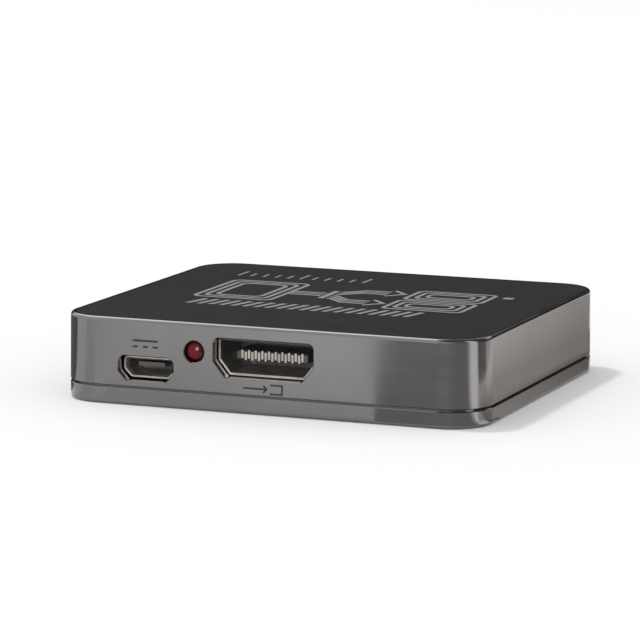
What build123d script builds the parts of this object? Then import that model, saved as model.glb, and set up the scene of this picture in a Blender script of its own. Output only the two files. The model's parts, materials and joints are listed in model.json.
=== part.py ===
from build123d import *

import math
import os

# Sizes are in millimetres. X runs across the front, Y from front to back and Z up.
# The origin is the centre of the flat base, and the front with the input faces -Y.

# Case
case_width = 63.0
case_depth = 55.0
corner_radius = 6.0
seam_height = 2.4
seam_gap = 0.3
side_draft_angle = 0.6
wall = 1.5
roof = 1.5
base_floor = 1.5
top_edge_radius = 0.5
base_edge_radius = 0.5
rim_height = 0.9
rim_skin = 0.75
rim_clearance = 0.08
cutout_margin = 0.15
cutout_edge_break = 0.12
seam_edge_break = 0.1

# Printed film let into the top
film_thickness = 0.2
film_inset = 0.65
film_clearance = 0.1
film_sink = 0.05

# Circuit board, the room under it and the room over the video sleeves
board_thickness = 1.6
board_clearance = 0.7
under_board_room = 2.0
sleeve_headroom = 0.55

# Case screws, the posts under the board and the bosses above it
post_side_inset = 5.9
post_front_inset = 13.0
post_back_inset = 5.9
post_wall = 0.7
boss_radius = 2.4
screw_length = 7.5
screw_radius = 0.95
screw_tip = 1.0
head_radius = 1.8
head_height = 1.1
head_seat = 1.6
head_clearance = 0.25
cross_width = 0.45
cross_length = 2.2
cross_depth = 0.6
thread_clearance = 0.04
shank_clearance = 0.2
pilot_spare = 0.3

# Video receptacle: the opening, the folded sheet round it and the tongue in it
opening_width = 14.0
opening_height = 4.55
opening_flat = 10.9
opening_side = 2.65
opening_corner = 0.35
video_sheet = 0.3
video_length = 11.4
mouth_gap = 0.2
output_outward = 0.6
tongue_width = 10.6
tongue_thickness = 1.3
tongue_setback = 1.9
tongue_edge = 0.15
video_block = 4.2
block_clearance = 0.05
video_pitch = 0.5
video_contact_count = 19
video_contact_width = 0.3
video_contact_thickness = 0.16
video_contact_proud = 0.06
video_tip_gap = 0.2
video_foot = 1.1
leaf_width = 2.2
leaf_length = 4.6
leaf_slot = 0.35
leaf_spacing = 6.4
leaf_start = 3.2
dimple_radius = 0.9
dimple_depth = 0.25
leg_width = 1.3
leg_tail = 0.8
leg_depths = (2.6, 8.6)
leg_clearance = 0.15

# Micro power receptacle, sunk into a notch in the board
power_opening_width = 6.9
power_opening_height = 1.9
power_opening_flat = 5.3
power_opening_side = 1.05
power_opening_corner = 0.2
power_sheet = 0.25
power_length = 5.4
power_sink = 1.0
power_flare = 0.3
power_flare_depth = 0.55
power_cutout_margin = 0.22
power_tongue_width = 4.0
power_tongue_thickness = 0.6
power_tongue_setback = 0.6
power_tongue_drop = 0.3
power_block = 1.6
power_pitch = 0.65
power_contact_count = 5
power_contact_width = 0.35
power_contact_thickness = 0.12
power_contact_proud = 0.04
power_foot = 1.2
wing_width = 0.6
wing_start = 1.2
wing_length = 3.0
wing_leg_width = 1.0
notch_clearance = 0.15

# Power light, in the bay between the power receptacle and the input
light_bay_width = 6.15
led_radius = 1.45
led_dome_height = 0.6
led_hole_clearance = 0.07
led_length = 4.9
led_rise = 0.575
led_recess = 0.05
led_flange_step = 0.25
led_flange_thickness = 0.9
led_lead_width = 0.5
led_lead_pitch = 2.54
led_lead_length = 1.6
led_hole_radius = 0.45

# Splitter chip, a square package with leads on all four sides
chip_size = 10.0
chip_height = 1.4
chip_standoff = 0.12
chip_edge = 0.25
chip_lead_length = 1.0
chip_lead_foot = 0.55
chip_lead_thickness = 0.15
chip_lead_width = 0.24
chip_lead_pitch = 0.5
chip_lead_count = 16
pin_mark_radius = 0.5
pin_mark_depth = 0.08
pin_mark_inset = 1.3

# Memory chip, a small package with leads on two sides
memory_length = 4.9
memory_width = 3.9
memory_height = 1.5
memory_lead_length = 1.05
memory_lead_foot = 0.5
memory_lead_thickness = 0.2
memory_lead_width = 0.42
memory_lead_pitch = 1.27
memory_lead_count = 4

# Voltage regulator, with three leads and a wide tab
regulator_length = 6.5
regulator_width = 3.5
regulator_height = 1.6
regulator_lead_length = 1.75
regulator_lead_foot = 0.8
regulator_lead_thickness = 0.28
regulator_lead_width = 0.7
regulator_lead_pitch = 2.3
regulator_lead_count = 3
regulator_tab_width = 3.0

# Power inductor
inductor_size = 5.2
inductor_height = 2.8
inductor_corner = 1.1
inductor_ring_radius = 2.0
inductor_ring_width = 0.35
inductor_ring_depth = 0.2
inductor_pad_width = 2.0
inductor_pad_thickness = 0.15

# Crystal in its low can
crystal_length = 11.0
crystal_width = 4.6
crystal_height = 3.2
crystal_edge = 0.5
crystal_flange = 0.35
crystal_flange_thickness = 0.4
crystal_base_thickness = 0.8

# Bulk capacitors
capacitor_radius = 2.0
capacitor_height = 3.7
capacitor_edge = 0.35
capacitor_neck_depth = 0.2
capacitor_neck_height = 0.5
capacitor_neck_place = 0.7
capacitor_base_margin = 0.15
capacitor_base_thickness = 0.8
capacitor_base_corner = 0.9

# Small chips: ceramic capacitors, resistors and surge arrays
ceramic_length = 1.6
ceramic_width = 0.8
ceramic_height = 0.8
resistor_length = 1.6
resistor_width = 0.8
resistor_height = 0.45
end_cap_length = 0.3
array_length = 2.5
array_width = 1.2
array_height = 0.6
array_gap = 0.9

# Solder under the board
solder_height = 0.55
solder_margin = 0.45
solder_tip_margin = 0.1

# Cuts run this far past the faces that they leave through
overrun = 1.0

# Gap between neighbours on the board, and counts of the small chips
part_gap = 0.6
side_column_shares = (-0.36, -0.12, 0.12, 0.36)
upper_resistor_count = 4
lower_resistor_count = 3

# Worked out from the sizes above
board_underside = base_floor + under_board_room
board_top = board_underside + board_thickness
sleeve_height = opening_height + 2 * video_sheet
case_height = board_top + sleeve_height + sleeve_headroom + roof
board_width = case_width - 2 * (wall + board_clearance)
board_depth = case_depth - 2 * (wall + board_clearance)
post_radius = head_radius + head_clearance + post_wall
post_x = case_width / 2 - post_side_inset
front_post_y = post_front_inset - case_depth / 2
back_post_y = case_depth / 2 - post_back_inset
screw_places = [(x, y) for x in (-post_x, post_x) for y in (front_post_y, back_post_y)]
mouth_y = case_depth / 2 - wall - mouth_gap
video_half_width = opening_width / 2 + video_sheet
video_feet_depth = video_length + video_contact_thickness + video_foot
wing_half_span = power_opening_width / 2 + power_sheet + wing_width
power_feet_depth = power_length + power_contact_thickness + power_foot
output_x = (post_x - post_radius) / 2 + output_outward
power_x = -(video_half_width + light_bay_width + wing_half_span)
led_x = -(video_half_width + light_bay_width / 2)
led_z = board_top + sleeve_height / 2 + led_rise
led_back_y = -case_depth / 2 + led_recess + led_length
led_bend_y = led_back_y + led_lead_length
draft_lean = math.tan(math.radians(side_draft_angle))
top_lean = (case_height - seam_height - seam_gap) * draft_lean
half_turn = 180

# Places on the board, worked out from the chip in its middle, the front wall and the sockets
capacitor_base_size = 2 * (capacitor_radius + capacitor_base_margin)
column_x = chip_size / 2 + chip_lead_length + part_gap + ceramic_width / 2
column_edge = column_x + ceramic_width / 2 + part_gap
inductor_x = -(column_edge + inductor_size / 2)
regulator_x = inductor_x - inductor_size / 2 - part_gap - regulator_lead_length - regulator_width / 2
memory_x = column_edge + memory_length / 2
front_capacitor_x = -(video_half_width + part_gap + capacitor_base_size / 2)
front_capacitor_y = -mouth_y + power_feet_depth + part_gap + capacitor_base_size / 2
side_capacitor_x = (memory_x + memory_length / 2 + board_width / 2) / 2
capacitor_places = [
    (front_capacitor_x, front_capacitor_y),
    (front_capacitor_x - capacitor_base_size - part_gap, front_capacitor_y),
    (side_capacitor_x, 0),
]
crystal_place = (
    video_half_width + 2 * part_gap + crystal_flange + crystal_length / 2,
    part_gap + crystal_flange + crystal_width / 2 - board_depth / 2,
)
regulator_capacitor_y = regulator_length / 2 + part_gap + ceramic_length / 2
ceramic_places = [(x, share * chip_size) for x in (-column_x, column_x) for share in side_column_shares]
ceramic_places += [(regulator_x, -regulator_capacitor_y), (regulator_x, regulator_capacitor_y)]
resistor_y = memory_width / 2 + memory_lead_length + part_gap + resistor_length / 2
resistor_pitch = resistor_width + part_gap
resistor_places = [
    (memory_x + (index - (count - 1) / 2) * resistor_pitch, y)
    for count, y in ((upper_resistor_count, resistor_y), (lower_resistor_count, -resistor_y))
    for index in range(count)
]


def slab(inset, bottom, top, draft=0):
    """A plate of the case's outline, set in on all sides, which narrows upward where it has a draft."""
    outline = RectangleRounded(case_width - 2 * inset, case_depth - 2 * inset, corner_radius - inset)
    return extrude(Plane.XY.offset(bottom) * outline, amount=top - bottom, taper=draft)


def upright(radius, bottom, top, place):
    """A round column between two heights."""
    return Pos(place[0], place[1], bottom) * extrude(Circle(radius), amount=top - bottom)


def opening_outline(width, height, flat, side, corner):
    """The opening of a receptacle: straight sides above, and lower corners cut off on a slant."""
    outline = Polyline(
        (-width / 2, height),
        (-width / 2, height - side),
        (-flat / 2, 0),
        (flat / 2, 0),
        (width / 2, height - side),
        (width / 2, height),
        close=True,
    )
    face = make_face(outline)
    return fillet(face.vertices(), corner)


def grown(outline, amount):
    """The same outline, grown all round."""
    return offset(outline, amount=amount, kind=Kind.ARC)


def sunk(outline, start, end):
    """A prism of an upright outline, from one depth behind a receptacle's mouth to another."""
    return extrude(Plane.XZ.offset(-start) * outline, amount=end - start, dir=(0, 1, 0))


def block(x_range, y_range, z_range):
    """A box between two corners."""
    size = [high - low for low, high in (x_range, y_range, z_range)]
    corner = Align.MIN
    return Pos(x_range[0], y_range[0], z_range[0]) * Box(*size, align=(corner, corner, corner))


def stepped_strip(start, knee, end, rise, thickness, width):
    """A strip that leaves level, turns down at its knee and ends in a foot on the board."""
    outline = Polyline(
        (start, rise),
        (start, rise + thickness),
        (knee, rise + thickness),
        (knee, thickness),
        (end, thickness),
        (end, 0),
        (knee - thickness, 0),
        (knee - thickness, rise),
        close=True,
    )
    return extrude(Plane.YZ * make_face(outline), amount=width / 2, both=True)


def at_wall(piece, x, side):
    """Stand a receptacle's piece on the board at the front wall, side -1, or the back wall, side 1."""
    turn = 0 if side < 0 else half_turn
    return Pos(x, side * mouth_y, board_top) * Rot(0, 0, turn) * piece


def on_board(piece, place, turn=0):
    """Stand a piece on the board."""
    return Pos(place[0], place[1], board_top) * Rot(0, 0, turn) * piece


# Receptacle outlines, upright, with zero at the foot of the opening

video_opening = opening_outline(opening_width, opening_height, opening_flat, opening_side, opening_corner)
power_opening = opening_outline(
    power_opening_width,
    power_opening_height,
    power_opening_flat,
    power_opening_side,
    power_opening_corner,
)
video_places = {"input_port": (0, -1), "output_1_port": (output_x, 1), "output_2_port": (-output_x, 1)}
power_base = power_sheet - power_sink


def wall_cuts():
    """The holes in the case's front and back walls, one for each receptacle and one for the light."""
    reach = wall + mouth_gap
    cuts = []
    video_hole = sunk(grown(video_opening, video_sheet + cutout_margin), -reach - overrun, 0)
    for x, side in video_places.values():
        cuts.append(at_wall(Pos(0, 0, video_sheet) * video_hole, x, side))
    power_hole = sunk(grown(power_opening, power_sheet + power_flare + power_cutout_margin), -reach - overrun, 0)
    cuts.append(at_wall(Pos(0, 0, power_base) * power_hole, power_x, -1))
    light_hole = extrude(Plane.XZ * Circle(led_radius + led_hole_clearance), amount=wall + overrun, both=True)
    cuts.append(Pos(led_x, -case_depth / 2, led_z) * light_hole)
    return cuts


def upper_shell():
    """The deep upper half of the case: walls, roof, film pocket, wall holes and four screw bosses."""
    roof_under = case_height - roof
    shell = slab(0, seam_height + seam_gap, case_height, side_draft_angle)
    shell = fillet(shell.faces().sort_by(Axis.Z)[-1].edges(), top_edge_radius)
    shell -= slab(wall, seam_height, roof_under)
    shell -= slab(rim_skin, seam_height, seam_height + rim_height + rim_clearance)
    shell -= slab(top_lean + film_inset, case_height - film_thickness - film_sink, case_height + overrun)
    for cut in wall_cuts():
        shell -= cut
    for index in (0, -1):
        wall_face = shell.faces().filter_by(GeomType.PLANE).sort_by(Axis.Y)[index]
        rims = [edge for wire in wall_face.inner_wires() for edge in wire.edges()]
        shell = chamfer(rims, cutout_edge_break)
    seam_face = shell.faces().filter_by(GeomType.PLANE).sort_by(Axis.Z)[0]
    shell = chamfer(seam_face.outer_wire().edges(), seam_edge_break)
    tip_height = head_seat + screw_length
    for place in screw_places:
        shell += upright(boss_radius, board_top, roof_under + roof / 2, place)
    for place in screw_places:
        shell -= upright(screw_radius + thread_clearance, board_top - overrun, tip_height + pilot_spare, place)
    return shell


def lower_shell():
    """The shallow tray that closes the case: floor, rim that laps inside the walls, and board posts."""
    tray = slab(0, 0, seam_height, side_draft_angle)
    tray = Pos(0, 0, seam_height) * mirror(tray, about=Plane.XY)
    tray = fillet(tray.faces().sort_by(Axis.Z)[0].edges(), base_edge_radius)
    tray = chamfer(tray.faces().sort_by(Axis.Z)[-1].edges(), seam_edge_break)
    rim = slab(rim_skin + rim_clearance, base_floor, seam_height + rim_height)
    tray = tray + rim - slab(wall, base_floor, seam_height + rim_height + overrun)
    for place in screw_places:
        tray += upright(post_radius, base_floor / 2, board_underside, place)
    for place in screw_places:
        tray -= upright(head_radius + head_clearance, -overrun, head_seat, place)
        tray -= upright(screw_radius + shank_clearance, 0, board_underside + overrun, place)
    return tray


def top_film():
    """The matt film in the pocket of the roof."""
    bottom = case_height - film_thickness - film_sink
    return slab(top_lean + film_inset + film_clearance, bottom, bottom + film_thickness)


def case_screw():
    """One screw: a pan head with a cross recess, and a plain shank with a pointed tip."""
    head = extrude(Circle(head_radius), amount=head_height)
    head = fillet(head.edges().sort_by(Axis.Z)[0], head_height / 2)
    for turn in (0, half_turn / 2):
        head -= Rot(0, 0, turn) * block(
            (-cross_length / 2, cross_length / 2),
            (-cross_width / 2, cross_width / 2),
            (-overrun, cross_depth),
        )
    shank = Pos(0, 0, head_height) * extrude(Circle(screw_radius), amount=screw_length - screw_tip)
    tip = Cone(screw_radius, screw_radius / 2, screw_tip, align=(Align.CENTER, Align.CENTER, Align.MIN))
    return head + shank + Pos(0, 0, head_height + screw_length - screw_tip) * tip


def case_screws():
    """The four screws, heads down in the wells of the tray."""
    return [Pos(x, y, head_seat - head_height) * case_screw() for x, y in screw_places]


# Video receptacle, in its own frame: mouth at depth zero, foot on the board


def video_legs():
    """The four legs of the shell, folded straight down from its sides through the board."""
    outer = video_half_width
    top = video_sheet + opening_height - opening_side / 2
    legs = []
    for depth in leg_depths:
        span = (depth - leg_width / 2, depth + leg_width / 2)
        drop = (-board_thickness - leg_tail, top)
        legs.append(block((outer - video_sheet, outer), span, drop))
        legs.append(block((-outer, video_sheet - outer), span, drop))
    return legs


def video_shell():
    """The folded sheet sleeve, with two spring leaves freed in its top and four legs."""
    sleeve = sunk(grown(video_opening, video_sheet), 0, video_length) - sunk(video_opening, 0, video_length)
    sleeve = Pos(0, 0, video_sheet) * sleeve
    top = video_sheet + opening_height
    leaf_end = leaf_start + leaf_length
    through = (top - video_sheet, top + video_sheet + overrun)
    dimple_top = block((-overrun, overrun), (-overrun, overrun), (-overrun, top + video_sheet / 2))
    for x in (-leaf_spacing / 2, leaf_spacing / 2):
        left = x - leaf_width / 2
        right = x + leaf_width / 2
        sleeve -= block((left - leaf_slot, left), (leaf_start, leaf_end), through)
        sleeve -= block((right, right + leaf_slot), (leaf_start, leaf_end), through)
        sleeve -= block((left - leaf_slot, right + leaf_slot), (leaf_start - leaf_slot, leaf_start), through)
        bump = Pos(0, 0, top - dimple_depth + dimple_radius) * Sphere(dimple_radius)
        sleeve += Pos(x, leaf_start + leaf_width / 2, 0) * (bump & dimple_top)
    for leg in video_legs():
        sleeve += leg
    return sleeve


def video_contact_set():
    """The contacts, in turn on top of the tongue and under it, with tips bent over its nose and feet behind."""
    middle = video_sheet + opening_height / 2
    reach = tongue_thickness / 2 + video_contact_proud
    tip_reach = tongue_thickness / 2 - video_tip_gap
    front = tongue_setback - video_contact_proud
    knee = video_length + video_contact_thickness
    half_width = video_contact_width / 2
    upper = (middle + reach - video_contact_thickness, (middle - tip_reach, middle + reach))
    lower = (middle - reach, (middle - reach, middle + tip_reach))
    contacts = []
    for index in range(video_contact_count):
        x = (index - (video_contact_count - 1) / 2) * video_pitch
        rise, tip_span = upper if index % 2 == 0 else lower
        strip = stepped_strip(
            front,
            knee,
            knee + video_foot,
            rise,
            video_contact_thickness,
            video_contact_width,
        )
        strip += block((-half_width, half_width), (front, front + video_contact_thickness), tip_span)
        contacts.append(Pos(x, 0, 0) * strip)
    return contacts


def video_insulator(contacts):
    """The block that closes the sleeve's back, with the tongue that the contacts lie along."""
    middle = video_sheet + opening_height / 2
    filler = sunk(grown(video_opening, -block_clearance), video_length - video_block, video_length)
    body = Pos(0, 0, video_sheet) * filler
    tongue = block(
        (-tongue_width / 2, tongue_width / 2),
        (tongue_setback, video_length - video_block / 2),
        (middle - tongue_thickness / 2, middle + tongue_thickness / 2),
    )
    front_edges = tongue.faces().sort_by(Axis.Y)[0].edges().filter_by(Axis.X)
    body += chamfer(front_edges, tongue_edge)
    for contact in contacts:
        body -= contact
    return body


# Power receptacle, in its own frame: mouth at depth zero, board top at height zero


def power_legs():
    """The legs at the ends of the two wings, through the board."""
    middle = wing_start + wing_length / 2
    span = (middle - wing_leg_width / 2, middle + wing_leg_width / 2)
    drop = (-board_thickness - leg_tail, power_sheet)
    right = block((wing_half_span - power_sheet, wing_half_span), span, drop)
    left = block((-wing_half_span, power_sheet - wing_half_span), span, drop)
    return [left, right]


def power_shell():
    """The small sleeve with its flared mouth, and the wings that carry it on the board."""
    outer = grown(power_opening, power_sheet)
    sleeve = sunk(outer, power_flare_depth, power_length)
    sleeve -= sunk(power_opening, 0, power_length + overrun)
    mouth_outer = grown(power_opening, power_sheet + power_flare)
    mouth_inner = grown(power_opening, power_flare)
    back = Plane.XZ.offset(-power_flare_depth)
    flare = loft([Plane.XZ * mouth_outer, back * outer], ruled=True)
    flare -= loft([Plane.XZ * mouth_inner, back * power_opening], ruled=True)
    shell = Pos(0, 0, power_base) * (sleeve + flare)
    side = power_opening_width / 2
    span = (wing_start, wing_start + wing_length)
    shell += block((side, wing_half_span), span, (0, power_sheet))
    shell += block((-wing_half_span, -side), span, (0, power_sheet))
    for leg in power_legs():
        shell += leg
    return shell


def power_contact_set():
    """The contacts under the small tongue."""
    tongue_foot = power_base + power_opening_height - power_tongue_drop - power_tongue_thickness
    knee = power_length + power_contact_thickness
    contacts = []
    for index in range(power_contact_count):
        x = (index - (power_contact_count - 1) / 2) * power_pitch
        strip = stepped_strip(
            power_tongue_setback + power_tongue_drop,
            knee,
            knee + power_foot,
            tongue_foot - power_contact_proud,
            power_contact_thickness,
            power_contact_width,
        )
        contacts.append(Pos(x, 0, 0) * strip)
    return contacts


def power_insulator(contacts):
    """The block at the back of the small sleeve, with its thin tongue."""
    filler = sunk(grown(power_opening, -block_clearance), power_length - power_block, power_length)
    body = Pos(0, 0, power_base) * filler
    tongue_top = power_base + power_opening_height - power_tongue_drop
    body += block(
        (-power_tongue_width / 2, power_tongue_width / 2),
        (power_tongue_setback, power_length - power_block / 2),
        (tongue_top - power_tongue_thickness, tongue_top),
    )
    for contact in contacts:
        body -= contact
    return body


# Power light


def power_led():
    """The lens with its flange, lying on its side with its low dome just inside the wall's hole."""
    straight = led_length - led_dome_height
    dome_radius = (led_radius**2 + led_dome_height**2) / (2 * led_dome_height)
    dome_reach = math.degrees(math.asin(led_radius / dome_radius))
    outline = Polyline(
        (0, 0),
        (led_radius + led_flange_step, 0),
        (led_radius + led_flange_step, led_flange_thickness),
        (led_radius, led_flange_thickness),
        (led_radius, straight),
    )
    dome = CenterArc((0, led_length - dome_radius), dome_radius, half_turn / 2 - dome_reach, dome_reach)
    axis_line = Line((0, led_length), (0, 0))
    lens = revolve(Plane.XZ * make_face(outline + dome + axis_line), Axis.Z)
    return Pos(led_x, led_back_y, led_z) * Rot(half_turn / 2, 0, 0) * lens


def led_places():
    """Where the two leads pass through the board."""
    offset_x = led_lead_pitch / 2
    return [(led_x - offset_x, led_bend_y), (led_x + offset_x, led_bend_y)]


def led_lead(x):
    """One lead: straight back from the lens, then down through the board."""
    half = led_lead_width / 2
    end = board_underside - leg_tail
    level = block((x - half, x + half), (led_back_y, led_bend_y + half), (led_z - half, led_z + half))
    return level + block((x - half, x + half), (led_bend_y - half, led_bend_y + half), (end, led_z + half))


# Board


def through_legs():
    """Every leg that passes through the board, where it stands in the case."""
    legs = []
    for x, side in video_places.values():
        legs += [at_wall(leg, x, side) for leg in video_legs()]
    legs += [at_wall(leg, power_x, -1) for leg in power_legs()]
    return legs


def circuit_board():
    """The board, with a notch for the power receptacle and holes for screws, legs and leads."""
    board = slab(wall + board_clearance, board_underside, board_top)
    notch_half = power_opening_width / 2 + power_sheet + notch_clearance
    notch = block(
        (-notch_half, notch_half),
        (-wall, power_length + notch_clearance),
        (-board_thickness - overrun, overrun),
    )
    board -= at_wall(notch, power_x, -1)
    for place in screw_places:
        board -= upright(screw_radius + shank_clearance, board_underside - overrun, board_top + overrun, place)
    for place in led_places():
        board -= upright(led_hole_radius, board_underside - overrun, board_top + overrun, place)
    for leg in through_legs():
        low = leg.bounding_box().min
        high = leg.bounding_box().max
        board -= block(
            (low.X - leg_clearance, high.X + leg_clearance),
            (low.Y - leg_clearance, high.Y + leg_clearance),
            (board_underside - overrun, board_top + overrun),
        )
    return board


def solder_joints():
    """A small cone of solder under the board round each leg and lead."""
    joints = []
    pieces = through_legs() + [led_lead(x) for x, y in led_places()]
    for piece in pieces:
        below = piece & block(
            (-case_width / 2, case_width / 2),
            (-case_depth / 2, case_depth / 2),
            (0, board_underside),
        )
        box = below.bounding_box()
        leg_radius = math.hypot(box.size.X, box.size.Y) / 2
        centre = box.center()
        cone = Cone(
            leg_radius + solder_tip_margin,
            leg_radius + solder_margin,
            solder_height,
            align=(Align.CENTER, Align.CENTER, Align.MAX),
        )
        joints.append(Pos(centre.X, centre.Y, board_underside) * cone - piece)
    return joints


# Parts on the board


def package_body(length, width, height, standoff, edge):
    """A moulded chip body with its upper edges cut off and a round pin mark."""
    body = block((-length / 2, length / 2), (-width / 2, width / 2), (standoff, height))
    body = chamfer(body.faces().sort_by(Axis.Z)[-1].edges(), edge)
    mark = upright(pin_mark_radius, height - pin_mark_depth, height + overrun, (0, 0))
    return body - Pos(pin_mark_inset - length / 2, pin_mark_inset - width / 2, 0) * mark


def lead_row(count, pitch, start, reach, foot, rise, thickness, width):
    """A row of bent leads that leave one side of a package, towards +Y."""
    knee = start + reach - foot
    lead = stepped_strip(start, knee, start + reach, rise, thickness, width)
    return [Pos((index - (count - 1) / 2) * pitch, 0, 0) * lead for index in range(count)]


def splitter_chip():
    """The square chip and its four rows of leads."""
    body = package_body(chip_size, chip_size, chip_height, chip_standoff, chip_edge)
    leads = []
    row = lead_row(
        chip_lead_count,
        chip_lead_pitch,
        chip_size / 2,
        chip_lead_length,
        chip_lead_foot,
        chip_height / 2,
        chip_lead_thickness,
        chip_lead_width,
    )
    for quarter in range(4):
        leads += [Rot(0, 0, quarter * half_turn / 2) * lead for lead in row]
    return body, leads


def memory_chip():
    """The small chip and its two rows of leads."""
    body = package_body(memory_length, memory_width, memory_height, chip_standoff, chip_edge)
    row = lead_row(
        memory_lead_count,
        memory_lead_pitch,
        memory_width / 2,
        memory_lead_length,
        memory_lead_foot,
        memory_height / 2,
        memory_lead_thickness,
        memory_lead_width,
    )
    leads = row + [Rot(0, 0, half_turn) * lead for lead in row]
    return body, leads


def voltage_regulator():
    """The regulator, its row of three leads and the wide tab opposite."""
    body = package_body(regulator_length, regulator_width, regulator_height, chip_standoff, chip_edge)
    shared = (
        regulator_width / 2,
        regulator_lead_length,
        regulator_lead_foot,
        regulator_height / 2,
        regulator_lead_thickness,
    )
    leads = lead_row(regulator_lead_count, regulator_lead_pitch, *shared, regulator_lead_width)
    tab = lead_row(1, regulator_lead_pitch, *shared, regulator_tab_width)
    return body, leads + [Rot(0, 0, half_turn) * piece for piece in tab]


def power_inductor():
    """The moulded inductor with the round edge of its winding core, and the two pads under it."""
    foot = inductor_pad_thickness
    half = inductor_size / 2
    body = block((-half, half), (-half, half), (foot, inductor_height))
    body = chamfer(body.edges().filter_by(Axis.Z), inductor_corner)
    ring = Circle(inductor_ring_radius) - Circle(inductor_ring_radius - inductor_ring_width)
    body -= Pos(0, 0, inductor_height - inductor_ring_depth) * extrude(ring, amount=inductor_ring_depth + overrun)
    pad_half = inductor_pad_width / 2
    right = block((half - pad_half, half), (-pad_half, pad_half), (0, foot))
    left = block((-half, pad_half - half), (-pad_half, pad_half), (0, foot))
    return body, [left, right]


def crystal():
    """The drawn can with its flange, and the plate that it stands on."""
    base_outline = SlotOverall(crystal_length + 2 * crystal_flange, crystal_width + 2 * crystal_flange)
    can_outline = SlotOverall(crystal_length, crystal_width)
    base = extrude(base_outline, amount=crystal_base_thickness)
    can = Pos(0, 0, crystal_base_thickness) * extrude(can_outline, amount=crystal_height)
    can = fillet(can.faces().sort_by(Axis.Z)[-1].edges(), crystal_edge)
    flange = extrude(base_outline, amount=crystal_flange_thickness)
    return can + Pos(0, 0, crystal_base_thickness) * flange, base


def bulk_capacitor():
    """A round can with a rolled neck, and its square base with two corners cut."""
    half = capacitor_base_size / 2
    base = block((-half, half), (-half, half), (0, capacitor_base_thickness))
    base = chamfer(base.edges().filter_by(Axis.Z).group_by(Axis.X)[-1], capacitor_base_corner)
    can = extrude(Circle(capacitor_radius), amount=capacitor_height)
    can = fillet(can.faces().sort_by(Axis.Z)[-1].edges(), capacitor_edge)
    neck = Circle(capacitor_radius + overrun) - Circle(capacitor_radius - capacitor_neck_depth)
    can -= Pos(0, 0, capacitor_neck_place) * extrude(neck, amount=capacitor_neck_height)
    return Pos(0, 0, capacitor_base_thickness) * can, base


def chip_part(length, width, height):
    """The body of a two-ended chip and the metal caps on its ends."""
    inner = length / 2 - end_cap_length
    span = (-width / 2, width / 2)
    body = block((-inner, inner), span, (0, height))
    right = block((inner, length / 2), span, (0, height))
    left = block((-length / 2, -inner), span, (0, height))
    return body, [left, right]


def surge_arrays():
    """Two small arrays behind the contact feet of each video receptacle."""
    depth = video_feet_depth + array_gap
    arrays = []
    for x, side in video_places.values():
        for offset_x in (-tongue_width / 4, tongue_width / 4):
            body = block(
                (offset_x - array_length / 2, offset_x + array_length / 2),
                (depth, depth + array_width),
                (0, array_height),
            )
            arrays.append(at_wall(body, x, side))
    return arrays


def build_nodes():
    """Every sub-part by name, in its place."""
    nodes = {
        "upper_shell": upper_shell(),
        "lower_shell": lower_shell(),
        "top_film": top_film(),
        "case_screws": case_screws(),
        "circuit_board": circuit_board(),
    }
    contacts = video_contact_set()
    shell = video_shell()
    insulator = video_insulator(contacts)
    for name, (x, side) in video_places.items():
        nodes[name + "_shell"] = at_wall(shell, x, side)
        nodes[name + "_insulator"] = at_wall(insulator, x, side)
        nodes[name + "_contacts"] = [at_wall(contact, x, side) for contact in contacts]
    small_contacts = power_contact_set()
    nodes["power_port_shell"] = at_wall(power_shell(), power_x, -1)
    nodes["power_port_insulator"] = at_wall(power_insulator(small_contacts), power_x, -1)
    nodes["power_port_contacts"] = [at_wall(contact, power_x, -1) for contact in small_contacts]
    nodes["power_light_lens"] = power_led()
    nodes["power_light_leads"] = [led_lead(x) for x, y in led_places()]
    nodes["solder_joints"] = solder_joints()
    chip_body, chip_leads = splitter_chip()
    nodes["splitter_chip"] = on_board(chip_body, (0, 0))
    nodes["splitter_chip_leads"] = [on_board(lead, (0, 0)) for lead in chip_leads]
    memory_body, memory_leads = memory_chip()
    nodes["memory_chip"] = on_board(memory_body, (memory_x, 0))
    nodes["memory_chip_leads"] = [on_board(lead, (memory_x, 0)) for lead in memory_leads]
    quarter = half_turn / 2
    regulator_body, regulator_pins = voltage_regulator()
    nodes["voltage_regulator"] = on_board(regulator_body, (regulator_x, 0), quarter)
    nodes["voltage_regulator_leads"] = [on_board(pin, (regulator_x, 0), quarter) for pin in regulator_pins]
    inductor_body, inductor_pads = power_inductor()
    nodes["power_inductor"] = on_board(inductor_body, (inductor_x, 0))
    nodes["power_inductor_pads"] = [on_board(pad, (inductor_x, 0)) for pad in inductor_pads]
    crystal_can, crystal_base = crystal()
    nodes["crystal_can"] = on_board(crystal_can, crystal_place)
    nodes["crystal_base"] = on_board(crystal_base, crystal_place)
    capacitor_can, capacitor_base = bulk_capacitor()
    nodes["bulk_capacitor_cans"] = [on_board(capacitor_can, place) for place in capacitor_places]
    nodes["bulk_capacitor_bases"] = [on_board(capacitor_base, place) for place in capacitor_places]
    ceramic, ceramic_caps = chip_part(ceramic_length, ceramic_width, ceramic_height)
    resistor, resistor_caps = chip_part(resistor_length, resistor_width, resistor_height)
    nodes["ceramic_capacitors"] = [on_board(ceramic, place, quarter) for place in ceramic_places]
    nodes["chip_resistors"] = [on_board(resistor, place, quarter) for place in resistor_places]
    end_caps = [on_board(cap, place, quarter) for place in ceramic_places for cap in ceramic_caps]
    end_caps += [on_board(cap, place, quarter) for place in resistor_places for cap in resistor_caps]
    nodes["chip_end_caps"] = end_caps
    nodes["surge_arrays"] = surge_arrays()
    return nodes


os.makedirs("parts", exist_ok=True)
for node_name, shape in build_nodes().items():
    solids = []
    for piece in shape if isinstance(shape, list) else [shape]:
        solids += piece.solids()
    export_step(Compound(solids) if len(solids) > 1 else solids[0], f"parts/{node_name}.step")
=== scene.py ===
import json
import math

import bmesh
import bpy
from mathutils import Matrix, Vector
from mathutils.bvhtree import BVHTree


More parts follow.
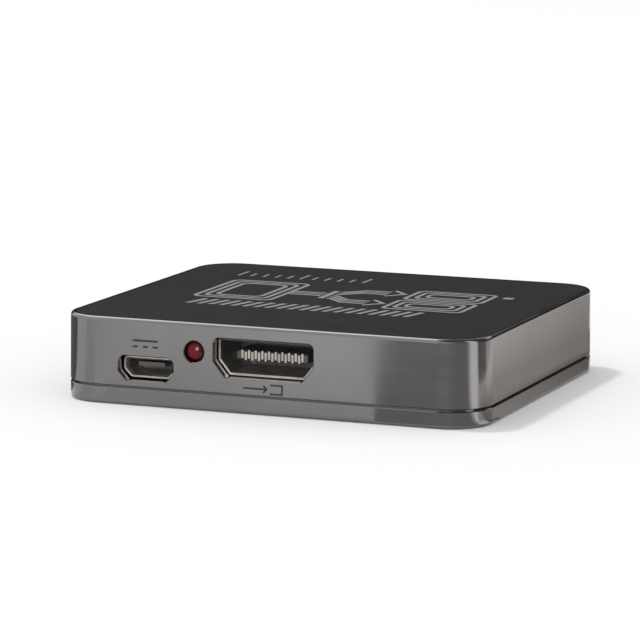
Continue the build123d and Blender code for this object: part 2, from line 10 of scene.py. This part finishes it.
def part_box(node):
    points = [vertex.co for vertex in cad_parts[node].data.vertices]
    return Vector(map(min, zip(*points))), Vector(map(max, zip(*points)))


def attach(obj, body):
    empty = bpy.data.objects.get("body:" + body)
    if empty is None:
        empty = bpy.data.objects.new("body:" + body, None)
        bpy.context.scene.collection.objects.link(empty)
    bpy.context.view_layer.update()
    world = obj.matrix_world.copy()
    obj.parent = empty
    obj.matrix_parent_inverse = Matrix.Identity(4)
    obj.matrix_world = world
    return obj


# Lengths are in metres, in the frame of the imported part: X right, Y back, Z up.
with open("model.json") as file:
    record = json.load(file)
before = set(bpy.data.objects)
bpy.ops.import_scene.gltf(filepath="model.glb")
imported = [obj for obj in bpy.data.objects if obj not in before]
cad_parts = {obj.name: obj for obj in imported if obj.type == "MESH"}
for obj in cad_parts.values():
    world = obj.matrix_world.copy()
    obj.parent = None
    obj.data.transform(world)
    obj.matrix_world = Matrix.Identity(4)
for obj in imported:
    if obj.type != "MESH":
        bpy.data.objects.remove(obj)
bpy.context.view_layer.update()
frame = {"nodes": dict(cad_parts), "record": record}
nodes = frame["nodes"]
MM = 0.001

# Camera, found from the edges of the box in the photograph
CAMERA_PLACE = Vector((188.86, -479.67, 94.27)) * MM
CAMERA_AZIMUTH = math.radians(21.745)
CAMERA_ELEVATION = math.radians(9.370)
CAMERA_ROLL = math.radians(0.139)
CAMERA_LENS = 203.21
SENSOR_WIDTH = 36.0

# Light: the room's level, the lamp's power in watts, its place and size, and the floor's own white
ROOM_LEVEL = 0.805
KEY_POWER = 26.3
KEY_PLACE = (-1.18, 0, 2.97)
KEY_SIZE = 0.3
FLOOR_SIZE = 20
FLOOR_WHITE_SHARE = 0.06

# How far the shade of a moulded or metal surface strays to either side
SHADE_SPREAD = 0.12

# Printed marks: the ink's thickness, its lift off the surface, and the heights of the wall marks
INK_THICKNESS = 0.012 * MM
INK_LIFT = 0.004 * MM
MARK_OVER_PORT = 8.85 * MM
MARK_UNDER_PORT = 3.72 * MM

# How far the two screens of the printed diagram stand from its middle line
SCREEN_RISE = 4.5 * MM

# Studio cards, in millimetres: how high one lies over the floor, and how far the overhead ones hang
CARD_HEIGHT = 0.3
CEILING = 500


def add_camera():
    """The camera stands where the photograph was taken from and looks a little down."""
    azimuth, elevation, roll = CAMERA_AZIMUTH, CAMERA_ELEVATION, CAMERA_ROLL
    back = Vector(
        (
            math.sin(azimuth) * math.cos(elevation),
            -math.cos(azimuth) * math.cos(elevation),
            math.sin(elevation),
        )
    )
    right = Vector((math.cos(azimuth), math.sin(azimuth), 0))
    up = back.cross(right)
    rolled_right = math.cos(roll) * right + math.sin(roll) * up
    rolled_up = math.cos(roll) * up - math.sin(roll) * right
    data = bpy.data.cameras.new("camera")
    data.lens = CAMERA_LENS
    data.sensor_width = SENSOR_WIDTH
    data.clip_start = 1 * MM
    data.clip_end = 100
    camera = bpy.data.objects.new("camera", data)
    turn = Matrix((rolled_right, rolled_up, back)).transposed().to_4x4()
    camera.matrix_world = Matrix.Translation(CAMERA_PLACE) @ turn
    bpy.context.scene.collection.objects.link(camera)
    bpy.context.scene.camera = camera


# Materials


class Nodes:
    """A new material's node tree, with short ways to add and join nodes."""

    def __init__(self, name):
        self.material = bpy.data.materials.new(name)
        self.material.use_nodes = True
        self.tree = self.material.node_tree
        self.tree.nodes.clear()
        self.output = self.add("ShaderNodeOutputMaterial")
        self.place = self.add("ShaderNodeTexCoord").outputs["Object"]

    def add(self, kind, **settings):
        node = self.tree.nodes.new(kind)
        for key, value in settings.items():
            setattr(node, key, value)
        return node

    def link(self, source, target):
        self.tree.links.new(source, target)

    def noise(self, scale, detail=3.0, stretch=None):
        """Smooth noise over the object, with features about 1 / scale metres wide."""
        node = self.add("ShaderNodeTexNoise")
        node.inputs["Scale"].default_value = scale
        node.inputs["Detail"].default_value = detail
        if stretch:
            mapping = self.add("ShaderNodeMapping")
            mapping.inputs["Scale"].default_value = stretch
            self.link(self.place, mapping.inputs["Vector"])
            self.link(mapping.outputs["Vector"], node.inputs["Vector"])
        else:
            self.link(self.place, node.inputs["Vector"])
        return node.outputs["Fac"]

    def between(self, source, low, high, start=0.3, end=0.7):
        """A value that runs from low to high as the source runs from start to end."""
        node = self.add("ShaderNodeMapRange")
        node.inputs["From Min"].default_value = start
        node.inputs["From Max"].default_value = end
        node.inputs["To Min"].default_value = low
        node.inputs["To Max"].default_value = high
        self.link(source, node.inputs["Value"])
        return node.outputs["Result"]

    def shades(self, source, dark, light, start=0.3, end=0.7):
        """A colour that runs from dark to light as the source runs from start to end."""
        ramp = self.add("ShaderNodeValToRGB")
        ramp.color_ramp.elements[0].position = start
        ramp.color_ramp.elements[0].color = (*dark, 1)
        ramp.color_ramp.elements[1].position = end
        ramp.color_ramp.elements[1].color = (*light, 1)
        self.link(source, ramp.inputs["Fac"])
        return ramp.outputs["Color"]

    def bump(self, source, depth, strength=1.0):
        node = self.add("ShaderNodeBump")
        node.inputs["Strength"].default_value = strength
        node.inputs["Distance"].default_value = depth
        self.link(source, node.inputs["Height"])
        return node.outputs["Normal"]

    def surface(self, colour, roughness, normal=None, **constants):
        """The Principled shader, with its colour, roughness and normal driven by nodes."""
        shader = self.add("ShaderNodeBsdfPrincipled")
        self.link(colour, shader.inputs["Base Color"])
        self.link(roughness, shader.inputs["Roughness"])
        if normal:
            self.link(normal, shader.inputs["Normal"])
        for key, value in constants.items():
            shader.inputs[key.replace("_", " ")].default_value = value
        self.link(shader.outputs["BSDF"], self.output.inputs["Surface"])
        return shader


def tint(colour, factor):
    """The same colour, darker or lighter."""
    return tuple(min(1.0, channel * factor) for channel in colour)


def strayed(colour):
    """The darkest and the lightest shade of a colour that strays to either side."""
    return tint(colour, 1 - SHADE_SPREAD), tint(colour, 1 + SHADE_SPREAD)


def moulded(name, colour, rough):
    """A moulded or fired surface: slight changes of shade, gloss and relief."""
    make = Nodes(name)
    broad = make.noise(180.0, 4.0)
    fine = make.noise(2500.0)
    shade = make.shades(broad, *strayed(colour))
    gloss = make.between(fine, rough * (1 - SHADE_SPREAD), rough * (1 + SHADE_SPREAD))
    make.surface(shade, gloss, make.bump(fine, 0.004 * MM))
    return make.material


def metal(name, colour, rough, streak=(1.0, 1.0, 1.0)):
    """A bare or plated metal with faint streaks and cloudy gloss."""
    make = Nodes(name)
    streaks = make.noise(1400.0, 4.0, streak)
    shade = make.shades(make.noise(350.0), *strayed(colour))
    gloss = make.between(streaks, rough * 0.7, rough * 1.3)
    make.surface(shade, gloss, make.bump(streaks, 0.002 * MM), Metallic=1.0)
    return make.material


def case_material():
    """Polished graphite: dark lacquer that mirrors what stands round it, with faint handling marks."""
    make = Nodes("case_graphite")
    cloud = make.noise(60.0, 3.0)
    wipe = make.noise(500.0, 6.0, (0.35, 0.35, 1.6))
    dust = make.noise(5200.0, 2.0)
    shade = make.shades(cloud, (0.19, 0.183, 0.182), (0.21, 0.202, 0.201))
    gloss = make.between(wipe, 0.11, 0.16)
    make.surface(shade, gloss, make.bump(dust, 0.0004 * MM), Metallic=0.93)
    return make.material


def film_material():
    """The matt film: near black, with a fine even grain that spreads the light."""
    make = Nodes("film_matt")
    cloud = make.noise(140.0, 4.0)
    grain = make.noise(9000.0, 2.0)
    shade = make.shades(cloud, (0.0285, 0.0262, 0.027), (0.033, 0.0304, 0.0313))
    gloss = make.between(grain, 0.6, 0.75)
    make.surface(shade, gloss, make.bump(grain, 0.004 * MM), Specular_IOR_Level=0.02)
    return make.material


def lens_material():
    """Deep red clear plastic with a polished skin, and painted shade that darkens it towards the rim of
    the dome.
    """
    make = Nodes("lens_red")
    low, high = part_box("power_light_lens")
    flat = make.add("ShaderNodeVectorMath", operation="MULTIPLY")
    flat.inputs[1].default_value = (1, 0, 1)
    make.link(make.place, flat.inputs[0])
    reach = make.add("ShaderNodeVectorMath", operation="DISTANCE")
    reach.inputs[1].default_value = ((low[0] + high[0]) / 2, 0, (low[2] + high[2]) / 2)
    make.link(flat.outputs["Vector"], reach.inputs[0])
    # Painted shade: the colour darkens towards the dome's rim and stands in for the darker reflection
    # there.
    rim = make.between(reach.outputs["Value"], 0, 1, 0.6 * MM, 1.5 * MM)
    shade = make.shades(rim, (0.14, 0.003, 0.009), (0.035, 0.001, 0.004), 0, 1)
    gloss = make.between(make.noise(900.0), 0.04, 0.06)
    make.surface(shade, gloss, Specular_IOR_Level=0.22)
    return make.material


def nickel_material():
    """Nickel-plated sheet, with painted shade: a darker colour along the top of the video sleeves, where
    the wall shades it.
    """
    make = Nodes("nickel_sheet")
    streaks = make.noise(1400.0, 4.0, (0.4, 3.0, 0.4))
    plain = make.shades(make.noise(350.0), (0.29, 0.275, 0.257), (0.37, 0.35, 0.327))
    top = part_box("input_port_shell")[1][2]
    split = make.add("ShaderNodeSeparateXYZ")
    make.link(make.place, split.inputs["Vector"])
    # Painted shade: the colour darkens near the top of the sleeves and stands in for the wall's shadow
    # there.
    painted_wall_shade = make.between(split.outputs["Z"], 0, 1, top - 0.5 * MM, top - 0.3 * MM)
    shade = make.add("ShaderNodeMix", data_type="RGBA")
    shade.inputs[7].default_value = (0.07, 0.066, 0.062, 1)
    make.link(painted_wall_shade, shade.inputs["Factor"])
    make.link(plain, shade.inputs[6])
    gloss = make.between(streaks, 0.3, 0.55)
    make.surface(shade.outputs[2], gloss, make.bump(streaks, 0.002 * MM), Metallic=1.0)
    return make.material


def board_material():
    """Black solder mask with the faint relief of the tracks under it."""
    make = Nodes("board_mask")
    tracks = make.add("ShaderNodeTexVoronoi", feature="DISTANCE_TO_EDGE", distance="MANHATTAN")
    tracks.inputs["Scale"].default_value = 420.0
    make.link(make.place, tracks.inputs["Vector"])
    track, plain = (0.03, 0.032, 0.031), (0.016, 0.017, 0.017)
    shade = make.shades(tracks.outputs["Distance"], track, plain, 0.05, 0.12)
    gloss = make.between(make.noise(2000.0), 0.25, 0.4)
    relief = make.bump(tracks.outputs["Distance"], 0.01 * MM, 0.4)
    make.surface(shade, gloss, relief)
    return make.material


def ink_material(name, colour):
    """Screen-printed ink with slightly uneven cover."""
    make = Nodes(name)
    cover = make.noise(2600.0, 4.0)
    shade = make.shades(cover, tint(colour, 0.8), tint(colour, 1.12))
    gloss = make.between(cover, 0.45, 0.6)
    make.surface(shade, gloss, make.bump(cover, 0.002 * MM), Specular_IOR_Level=0.3)
    return make.material


def slot_materials():
    """One material for each material slot of the record."""
    return {
        "case": case_material(),
        "film": film_material(),
        "screw": metal("screw_zinc", (0.3, 0.3, 0.31), 0.35),
        "board": board_material(),
        "port_metal": nickel_material(),
        "port_plastic": moulded("insulator_black", (0.09, 0.081, 0.075), 0.4),
        "contact": metal("contact_gold", (0.345, 0.322, 0.29), 0.34, (1.0, 0.2, 1.0)),
        "lens": lens_material(),
        "tinned": metal("lead_tin", (0.7, 0.7, 0.69), 0.3),
        "solder": metal("solder_bright", (0.62, 0.62, 0.62), 0.18),
        "chip": moulded("chip_black", (0.022, 0.022, 0.023), 0.55),
        "ferrite": moulded("ferrite_grey", (0.07, 0.07, 0.072), 0.6),
        "can_metal": metal("can_aluminium", (0.72, 0.72, 0.73), 0.28),
        "base_plastic": moulded("base_black", (0.02, 0.02, 0.02), 0.5),
        "ceramic_body": moulded("ceramic_tan", (0.42, 0.29, 0.17), 0.5),
        "resistor_body": moulded("resistor_glaze", (0.03, 0.03, 0.035), 0.3),
    }


def dress_nodes():
    """Each CAD node gets its slot's material."""
    materials = slot_materials()
    for part in frame["record"]["subparts"]:
        mesh = nodes[part["node"]].data
        mesh.materials.clear()
        mesh.materials.append(materials[part["material_slot"]])


# Printed marks: strokes on a flat pattern, laid on a face of the case


def stroke(points, width, closed=False):
    """Quads, as lists of flat corners, for a line of even width with mitred turns."""
    count = len(points)
    sides = []
    for index, point in enumerate(points):
        here = Vector(point)
        before = Vector(points[index - 1]) if closed or index else None
        after = Vector(points[(index + 1) % count]) if closed or index < count - 1 else None
        first = (here - before).normalized() if before else (after - here).normalized()
        second = (after - here).normalized() if after else first
        along = (first + second).normalized()
        across = Vector((-along.y, along.x))
        reach = width / 2 / max(0.25, across.dot(Vector((-first.y, first.x))))
        sides.append((here + across * reach, here - across * reach))
    spans = count if closed else count - 1
    quads = []
    for index in range(spans):
        left, right = sides[index]
        next_left, next_right = sides[(index + 1) % count]
        quads.append([right, next_right, next_left, left])
    return quads


def rounded(left, bottom, right, top, radius, steps=4):
    """The corner points of a rectangle with rounded corners."""
    centres = (
        (right - radius, bottom + radius, -90),
        (right - radius, top - radius, 0),
        (left + radius, top - radius, 90),
        (left + radius, bottom + radius, 180),
    )
    points = []
    for x, y, start in centres:
        for step in range(steps + 1):
            angle = math.radians(start + 90 * step / steps)
            points.append((x + radius * math.cos(angle), y + radius * math.sin(angle)))
    return points


def print_marks(name, faces, lay, material):
    """A thin raised print: flat faces laid on a surface by lay(x, y, height) and closed below."""
    shape = bmesh.new()
    for face in faces:
        corners = [(corner[0], corner[1]) for corner in face]
        low = [shape.verts.new(lay(x, y, INK_LIFT)) for x, y in corners]
        high = [shape.verts.new(lay(x, y, INK_LIFT + INK_THICKNESS)) for x, y in corners]
        shape.faces.new(high)
        shape.faces.new(list(reversed(low)))
        for index in range(len(corners)):
            following = (index + 1) % len(corners)
            shape.faces.new((low[index], low[following], high[following], high[index]))
    bmesh.ops.recalc_face_normals(shape, faces=shape.faces)
    mesh = bpy.data.meshes.new(name)
    shape.to_mesh(mesh)
    shape.free()
    mesh.materials.append(material)
    piece = bpy.data.objects.new(name, mesh)
    bpy.context.scene.collection.objects.link(piece)
    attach(piece, "root")
    return piece


def wall_tree():
    """The upper shell's faces, for finding where its drafted walls stand."""
    shell = nodes["upper_shell"]
    vertices = [shell.matrix_world @ vertex.co for vertex in shell.data.vertices]
    return BVHTree.FromPolygons(vertices, [list(face.vertices) for face in shell.data.polygons])


def wall_lay(tree, side):
    """Lays a pattern on the front wall, side -1, or the back wall, side 1, seen from outside."""
    start = side * 0.1

    def lay(x, z, height):
        across = -side * x
        hit = tree.ray_cast(Vector((across, start, z)), Vector((0, -side, 0)))[0]
        return Vector((across, hit.y + side * height, z))

    return lay


def film_lay(x, y, height):
    """Lays a pattern on the top film."""
    return Vector((x, y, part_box("top_film")[1][2] + height))


def arrow_strokes(tail, tip, head, width):
    """A straight arrow from tail to tip, in the flat pattern."""
    tail, tip = Vector(tail), Vector(tip)
    along = (tip - tail).normalized()
    across = Vector((-along.y, along.x))
    left = tip - along * head + across * head
    right = tip - along * head - across * head
    return stroke([tail, tip], width) + stroke([left, tip, right], width)


def nested_frames(left, bottom, right, top, radius, step, line):
    """Three rounded frames, one inside another."""
    faces = []
    for inset in (0, step, 2 * step):
        points = rounded(left + inset, bottom + inset, right - inset, top - inset, radius)
        faces += stroke(points, line, True)
    return faces


def fork(start_x, middle, step, line):
    """A trunk of three lines, a bar across its end, and two branches with arrowheads."""
    bar_x, bar_half, bar_width = start_x - 0.9 * MM, 3.5 * MM, 0.9 * MM
    trunk_start, trunk_end = -8.3 * MM, start_x - 1.7 * MM
    bend_start, bend_end, branch_end = start_x + 0.6 * MM, start_x + 3.2 * MM, 5.2 * MM
    head_back, head_tip, head_half = 5.4 * MM, 7.7 * MM, 2.5 * MM
    faces = stroke([(bar_x, middle - bar_half), (bar_x, middle + bar_half)], bar_width)
    for shift in (-step, 0, step):
        faces += stroke([(trunk_start, middle + shift), (trunk_end, middle + shift)], line)
    for sign in (-1, 1):
        low, high = middle + sign * 1.9 * MM, middle + sign * SCREEN_RISE
        for shift in (-step, 0, step):
            bend = [(start_x, low + shift), (bend_start, low + shift), (bend_end, high + shift)]
            faces += stroke(bend + [(branch_end, high + shift)], line)
        head = [(head_back, high + head_half), (head_tip, high), (head_back, high - head_half)]
        faces += stroke(head, line)
    return faces


def slanted_bars(left, low, top):
    """A row of slanted bars."""
    count, pitch, width, lean = 20, 1.75 * MM, 0.8 * MM, 1.1 * MM
    faces = []
    for index in range(count):
        x = left + index * pitch
        faces.append([(x, low), (x + width, low), (x + width + lean, top), (x + lean, top)])
    return faces


def tick_row(left, low):
    """A row of ticks, with every fifth one taller."""
    count, pitch, line = 11, 2.0 * MM, 0.4 * MM
    faces = []
    for index in range(count):
        x = left + index * pitch
        tall = 4.0 * MM if index % 5 == 0 else 2.4 * MM
        faces += stroke([(x, low), (x, low + tall)], line)
    return faces


def top_pattern():
    """A plain signal diagram: a source frame, a fork and two screen frames, with bars and ticks."""
    line, step, middle = 0.62 * MM, 1.25 * MM, 3.5 * MM
    screen_left, screen_right, screen_half = 8.9 * MM, 20.6 * MM, 3.9 * MM
    faces = nested_frames(-20.5 * MM, -4.6 * MM, -8.6 * MM, 11.6 * MM, 1.2 * MM, step, line)
    faces += fork(-1.6 * MM, middle, step, line)
    for sign in (-1, 1):
        low, high = (middle + sign * SCREEN_RISE + side * screen_half for side in (-1, 1))
        faces += nested_frames(screen_left, low, screen_right, high, 0.9 * MM, step, line)
    faces += slanted_bars(-19.0 * MM, -11.0 * MM, -6.6 * MM)
    faces += tick_row(-22.0 * MM, 15.8 * MM)
    left, right, near, far = 22.1 * MM, 23.6 * MM, 9.4 * MM, 10.9 * MM
    faces.append([(left, near), (right, near), (right, far), (left, far)])
    return faces


def power_pattern(x, z):
    """The plain sign for direct current: a line over three dashes."""
    line, half, rise, drop = 0.3 * MM, 1.9 * MM, 0.45 * MM, 0.4 * MM
    faces = stroke([(x - half, z + rise), (x + half, z + rise)], line)
    dash = 2 * half / 5
    for index in (0, 2, 4):
        start = x - half + index * dash
        faces += stroke([(start, z - drop), (start + dash, z - drop)], line)
    return faces


def input_pattern(x, z):
    """An arrow that points into an open frame."""
    line, half, head = 0.26 * MM, 0.62 * MM, 0.5 * MM
    tail, tip, left, right = x - 2.9 * MM, x + 0.6 * MM, x + 1.1 * MM, x + 2.9 * MM
    faces = arrow_strokes((tail, z), (tip, z), head, line)
    faces += stroke([(left, z + half), (right, z + half), (right, z - half), (left, z - half)], line)
    return faces


def numeral_pattern(number, x, z):
    """The plain numeral 1 or 2 in single strokes."""
    line, half, radius = 0.26 * MM, 0.68 * MM, 0.38 * MM
    if number == 1:
        flag_x, flag_z = x - 0.34 * MM, z + 0.36 * MM
        return stroke([(flag_x, flag_z), (x, z + half), (x, z - half)], line)
    arc_start, arc_step, arc_points, foot = 170, 26, 9, 0.45 * MM
    points = []
    for index in range(arc_points):
        angle = math.radians(arc_start - index * arc_step)
        points.append((x + radius * math.cos(angle), z + half - radius + radius * math.sin(angle)))
    points += [(x - radius, z - half), (x + foot, z - half)]
    return stroke(points, line)


def middle_x(name):
    """The middle of a node, from left to right."""
    low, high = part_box(name)
    return (low[0] + high[0]) / 2


def add_prints():
    """The marks on the top film and on the front and back walls."""
    silver = ink_material("ink_silver", (0.27, 0.265, 0.265))
    dark = ink_material("ink_dark", (0.02, 0.02, 0.02))
    print_marks("top_print", top_pattern(), film_lay, silver)
    tree = wall_tree()
    front = wall_lay(tree, -1)
    back = wall_lay(tree, 1)
    power = power_pattern(middle_x("power_port_shell"), MARK_OVER_PORT)
    print_marks("power_mark", power, front, dark)
    print_marks("input_mark", input_pattern(0, MARK_UNDER_PORT), front, dark)
    for number in (1, 2):
        across = -middle_x(f"output_{number}_port_shell")
        numeral = numeral_pattern(number, across, MARK_UNDER_PORT)
        print_marks(f"output_{number}_mark", numeral, back, dark)


# Stage


def seen_directly(make):
    """1 for the rays of the camera, of reflections and of clear things, and 0 for the rest."""
    path = make.add("ShaderNodeLightPath")
    seen = path.outputs["Is Camera Ray"]
    for kind in ("Is Glossy Ray", "Is Transmission Ray"):
        either = make.add("ShaderNodeMath", operation="MAXIMUM")
        make.link(seen, either.inputs[0])
        make.link(path.outputs[kind], either.inputs[1])
        seen = either.outputs[0]
    return seen


def add_floor():
    """A pale matt floor, which looks white and keeps the shadow."""
    bpy.ops.mesh.primitive_plane_add(size=FLOOR_SIZE, location=(0, 0, 0))
    floor = bpy.context.object
    floor.name = "floor"
    make = Nodes("floor_white")
    shader = make.add("ShaderNodeBsdfDiffuse")
    shade = make.shades(make.noise(3.0), (0.95, 0.95, 0.95), (0.97, 0.97, 0.97))
    make.link(shade, shader.inputs["Color"])
    share = make.add("ShaderNodeMath", operation="MULTIPLY")
    share.inputs[1].default_value = FLOOR_WHITE_SHARE
    make.link(seen_directly(make), share.inputs[0])
    white = make.add("ShaderNodeEmission")
    mix = make.add("ShaderNodeMixShader")
    make.link(share.outputs[0], mix.inputs["Fac"])
    make.link(shader.outputs[0], mix.inputs[1])
    make.link(white.outputs[0], mix.inputs[2])
    make.link(mix.outputs[0], make.output.inputs["Surface"])
    floor.data.materials.append(make.material)


def add_card(name, corners, level, *fades, colour=(1, 1, 1)):
    """A card seen in reflections alone; each fade is a direction, a start, an end and a last share."""
    mesh = bpy.data.meshes.new(name)
    points = [Vector(corner if len(corner) > 2 else (*corner, CARD_HEIGHT)) * MM for corner in corners]
    mesh.from_pydata(points, [], [list(range(len(points)))])
    card = bpy.data.objects.new(name, mesh)
    bpy.context.scene.collection.objects.link(card)
    card.visible_camera = False
    card.visible_diffuse = False
    card.visible_transmission = False
    card.visible_shadow = False
    make = Nodes(name)
    glow = make.add("ShaderNodeEmission")
    glow.inputs["Strength"].default_value = level
    glow.inputs["Color"].default_value = (*colour, 1)
    strength = None
    for direction, start, end, share in fades:
        dot = make.add("ShaderNodeVectorMath", operation="DOT_PRODUCT")
        make.link(make.place, dot.inputs[0])
        dot.inputs[1].default_value = (*direction, 0)
        first = 1.0 if strength else level
        fade = make.between(dot.outputs["Value"], first, first * share, start * MM, end * MM)
        if strength:
            both = make.add("ShaderNodeMath", operation="MULTIPLY")
            make.link(strength, both.inputs[0])
            make.link(fade, both.inputs[1])
            fade = both.outputs[0]
        strength = fade
    if strength:
        make.link(strength, glow.inputs["Strength"])
    make.link(glow.outputs[0], make.output.inputs["Surface"])
    mesh.materials.append(make.material)


def at_azimuth(centre, azimuth, reach):
    """The flat point at a distance from a centre, in a direction counted from front to right."""
    angle = math.radians(azimuth)
    return (centre[0] + reach * math.sin(angle), centre[1] - reach * math.cos(angle))


def sector(centre, start, end, near, far):
    """The corners of a piece of a ring round a point, between two azimuths."""
    steps = max(1, round(abs(end - start) / 10))
    azimuths = [start + (end - start) * step / steps for step in range(steps + 1)]
    inner = [at_azimuth(centre, azimuth, near) for azimuth in azimuths]
    return inner + [at_azimuth(centre, azimuth, far) for azimuth in reversed(azimuths)]


def standing(centre, start, end, reach, top):
    """The corners of an upright flat card between two azimuths."""
    first, last = (at_azimuth(centre, azimuth, reach) for azimuth in (start, end))
    return [(*first, CARD_HEIGHT), (*last, CARD_HEIGHT), (*last, top), (*first, top)]


def upright(left, right, y, low, high):
    """The corners of an upright card that faces front or back."""
    return [(left, y, low), (right, y, low), (right, y, high), (left, y, high)]


# The centres of the case's round front corners, and where the cards on the floor round them begin
RIGHT_CORNER = (25.5, -21.5)
LEFT_CORNER = (-25.5, -21.5)
CORNER_NEAR = 6.4


def add_front_cards():
    """The floor that the front wall mirrors: a glow that grows to the right, and a dark field after it."""
    front, reach, near = -27.7, 130, 1.5
    start, edge, slant = -24.6, 16.4, 0.372
    ring = sector(RIGHT_CORNER, -10, 62, CORNER_NEAR, 160)
    edge_far = (edge - slant * reach, front - reach)
    start_far = (start - slant * reach, front - reach)
    add_card("card_front_dark", [(edge, front)] + ring + [edge_far], 0.41)
    near_corners = [(start - slant * near, front - near), (edge - slant * near, front - near)]
    fades = (
        ((1, -slant), start - slant * front, edge - slant * front, 1.22),
        ((0, -1), 33, 47, 1.2),
        ((0, -1), 52, 85, 1.18),
    )
    add_card("card_front_glow", near_corners + [edge_far, start_far], 0.79, *fades)


def add_corner_cards():
    """The dark and bright bands that the round corners mirror."""
    add_card("card_left_near", sector(LEFT_CORNER, -23, -49, CORNER_NEAR, 130), 0.85)
    add_card("card_left_glow", sector(LEFT_CORNER, -50, -82, CORNER_NEAR, 200), 1.04)
    add_card("card_left_dark", sector(LEFT_CORNER, -84, -165, CORNER_NEAR, 200), 0.18)
    add_card("card_corner_bright", sector(RIGHT_CORNER, 68, 89, CORNER_NEAR, 160), 1.8)
    fade = ((0, 1), -20, 60, 3.2)
    add_card("card_corner_dark", sector(RIGHT_CORNER, 91, 120, CORNER_NEAR, 160), 0.2, fade)
    add_card("card_corner_wall_front", standing(RIGHT_CORNER, -11, 26, 75, 110), 0.42)
    reach, top = 160, 300
    walls = (("slant", 26, 62, 0.3), ("bright", 68, 89, 1.8), ("side", 91, 140, 0.1))
    for name, start, end, level in walls:
        add_card(f"card_corner_wall_{name}", standing(RIGHT_CORNER, start, end, reach, top), level)


def add_side_cards():
    """The warm shade that the right wall mirrors, darker at its foot and towards the back."""
    warm = (1.0, 0.94, 0.905)
    front, foot, inner, outer = -24, 32, 37, 66
    beside = [(inner, front), (outer, front), (outer, 95), (inner, 95)]
    add_card("card_side_shade", beside, 0.6, ((1, 0), 42, 62, 2.6), ((0, 1), 15, 90, 0.55), colour=warm)
    under = [(foot, front), (inner, front), (inner, 60), (foot, 60)]
    add_card("card_side_foot", under, 0.57, ((0, 1), -15, 28, 0.45), colour=warm)


def add_far_cards():
    """The dark behind, the glint on the light's dome, and the rim's bright line and dark end."""
    add_card("card_behind", upright(-1400, 900, 1000, 1, 430), 0.03)
    add_card("card_light_glint", upright(-260, 430, -1500, 60, 800), 13.0)
    near_turn, far_turn = (-120, -95), (-180, 589)
    over_corner = [(-100, -400), (800, -400), (800, 589), far_turn, near_turn]
    add_card("card_over_corner", [(*corner, CEILING) for corner in over_corner], 0.06)
    above = [near_turn, (-294, -94), (-560, 230), (-900, 760), far_turn]
    add_card("card_edge_line", [(*corner, CEILING) for corner in above], 2.8)


def add_lamp(name, place, size, watts):
    """A soft square lamp that faces the origin and stays out of reflections."""
    data = bpy.data.lights.new(name, "AREA")
    data.shape = "RECTANGLE"
    data.size = data.size_y = size
    data.energy = watts
    lamp = bpy.data.objects.new(name, data)
    lamp.location = place
    lamp.rotation_euler = (-Vector(place)).to_track_quat("-Z", "Y").to_euler()
    lamp.visible_glossy = False
    bpy.context.scene.collection.objects.link(lamp)


def add_light():
    """An even white room, and above on the left the small lamp that casts the shadow."""
    world = bpy.data.worlds.new("room")
    world.use_nodes = True
    tree = world.node_tree
    background = tree.nodes["Background"]
    background.inputs["Color"].default_value = (1, 1, 1, 1)
    background.inputs["Strength"].default_value = ROOM_LEVEL
    seen = tree.nodes.new("ShaderNodeBackground")
    seen.inputs["Color"].default_value = (1, 1, 1, 1)
    path = tree.nodes.new("ShaderNodeLightPath")
    either = tree.nodes.new("ShaderNodeMath")
    either.operation = "MAXIMUM"
    tree.links.new(path.outputs["Is Camera Ray"], either.inputs[0])
    tree.links.new(path.outputs["Is Glossy Ray"], either.inputs[1])
    mix = tree.nodes.new("ShaderNodeMixShader")
    tree.links.new(either.outputs[0], mix.inputs["Fac"])
    tree.links.new(background.outputs[0], mix.inputs[1])
    tree.links.new(seen.outputs[0], mix.inputs[2])
    tree.links.new(mix.outputs[0], tree.nodes["World Output"].inputs["Surface"])
    bpy.context.scene.world = world
    add_lamp("key", KEY_PLACE, KEY_SIZE, KEY_POWER)


bpy.context.scene.view_settings.view_transform = "Standard"
add_camera()
dress_nodes()
add_prints()
add_floor()
add_front_cards()
add_corner_cards()
add_side_cards()
add_far_cards()
add_light()
